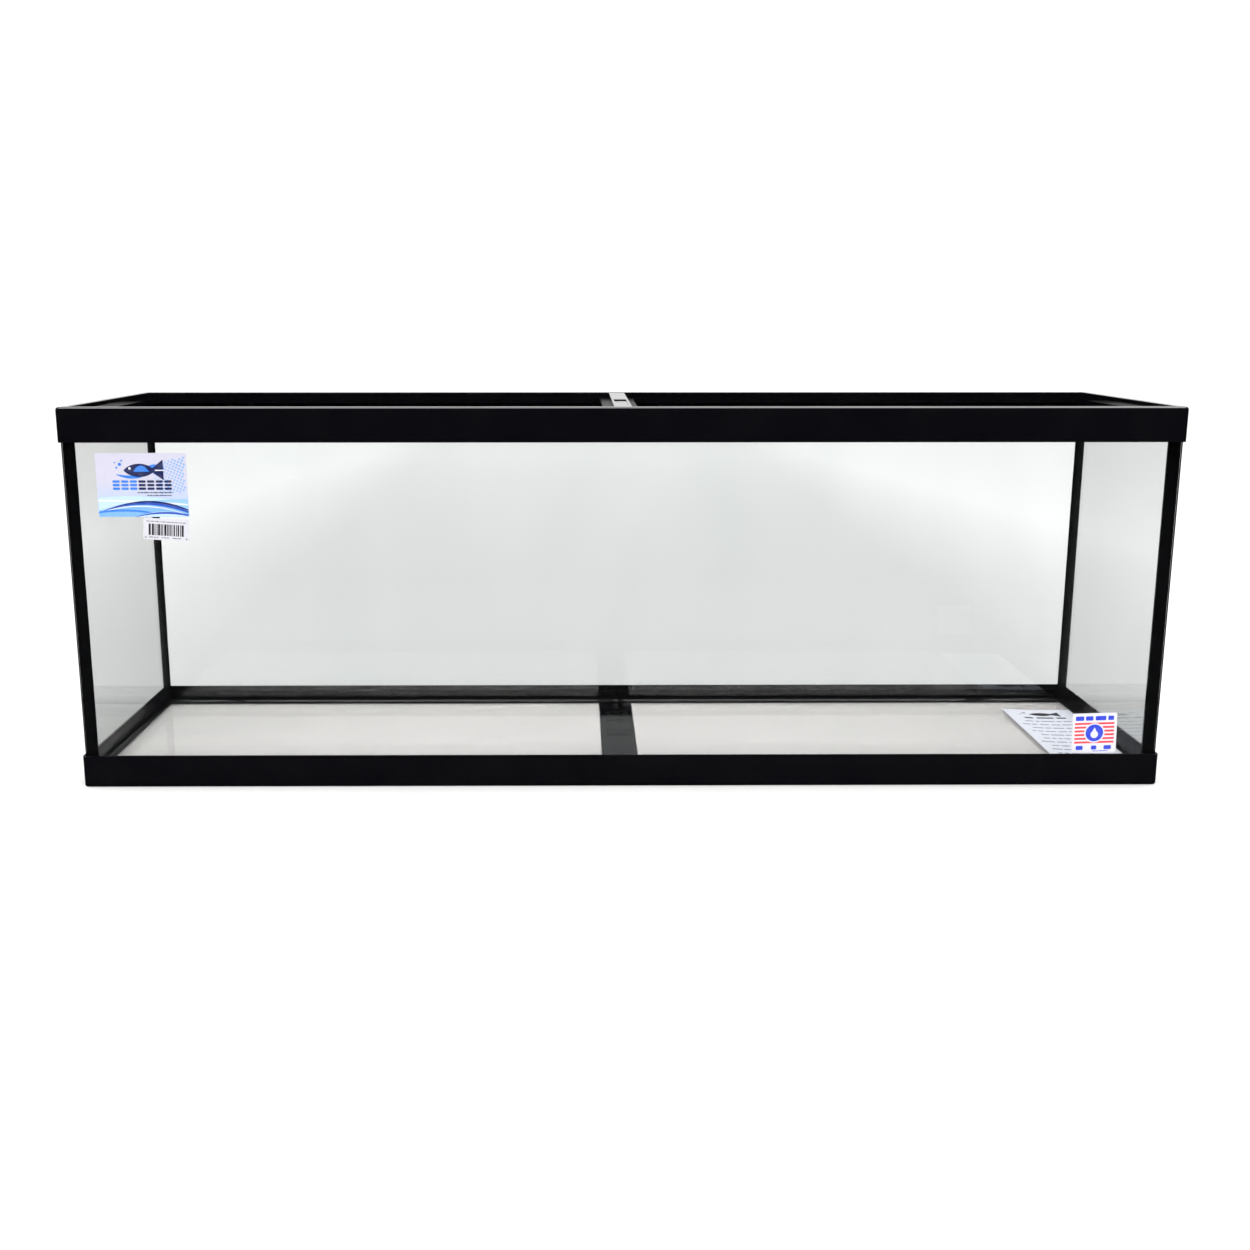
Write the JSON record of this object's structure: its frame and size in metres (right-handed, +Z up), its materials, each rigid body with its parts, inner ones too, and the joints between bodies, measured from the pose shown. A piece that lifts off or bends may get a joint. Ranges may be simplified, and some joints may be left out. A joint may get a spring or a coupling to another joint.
{
  "type": "glass aquarium tank",
  "caption": "Long rimmed glass aquarium tank: black top and bottom frames with centre braces, black silicone joints, stickers and a loose care leaflet.",
  "frame": {"origin": "centre of the tank's footprint, on the surface it stands on", "axes": "+X along the tank to the right seen from the front, +Y from the front pane to the back pane, +Z up"},
  "size_m": [1.2256, 0.3238, 0.4286],
  "materials": {
    "frame_plastic": "glossy black injection-moulded plastic",
    "pane_glass": "clear float glass, seamed edges",
    "black_silicone": "cured black silicone, tooled smooth",
    "picture_sticker": "printed gloss paper",
    "barcode_sticker": "printed matt paper",
    "striped_sticker": "printed gloss paper",
    "leaflet_paper": "folded printed paper"
  },
  "bodies": {
    "tank": {"top_frame": "frame_plastic", "bottom_frame": "frame_plastic", "front_pane": "pane_glass", "back_pane": "pane_glass", "left_pane": "pane_glass", "right_pane": "pane_glass", "bottom_pane": "pane_glass", "corner_seal_front_left": "black_silicone", "corner_seal_front_right": "black_silicone", "corner_seal_back_left": "black_silicone", "corner_seal_back_right": "black_silicone", "bottom_seal_front": "black_silicone", "bottom_seal_back": "black_silicone", "bottom_seal_left": "black_silicone", "bottom_seal_right": "black_silicone", "top_adhesive_front": "black_silicone", "top_adhesive_back": "black_silicone", "top_adhesive_left": "black_silicone", "top_adhesive_right": "black_silicone", "bottom_adhesive_front": "black_silicone", "bottom_adhesive_back": "black_silicone", "bottom_adhesive_left": "black_silicone", "bottom_adhesive_right": "black_silicone", "brace_adhesive_front": "black_silicone", "brace_adhesive_middle": "black_silicone", "brace_adhesive_rear": "black_silicone", "picture_label": "picture_sticker", "barcode_label": "barcode_sticker", "striped_label": "striped_sticker"},
    "leaflet": {"care_leaflet": "leaflet_paper"}
  },
  "joints": [
    {"name": "leaflet_lift", "type": "slide", "parent": "tank", "child": "leaflet", "axis": [-0.0384, 0, 0.9993], "range_m": [0, 0.46]}
  ]
}
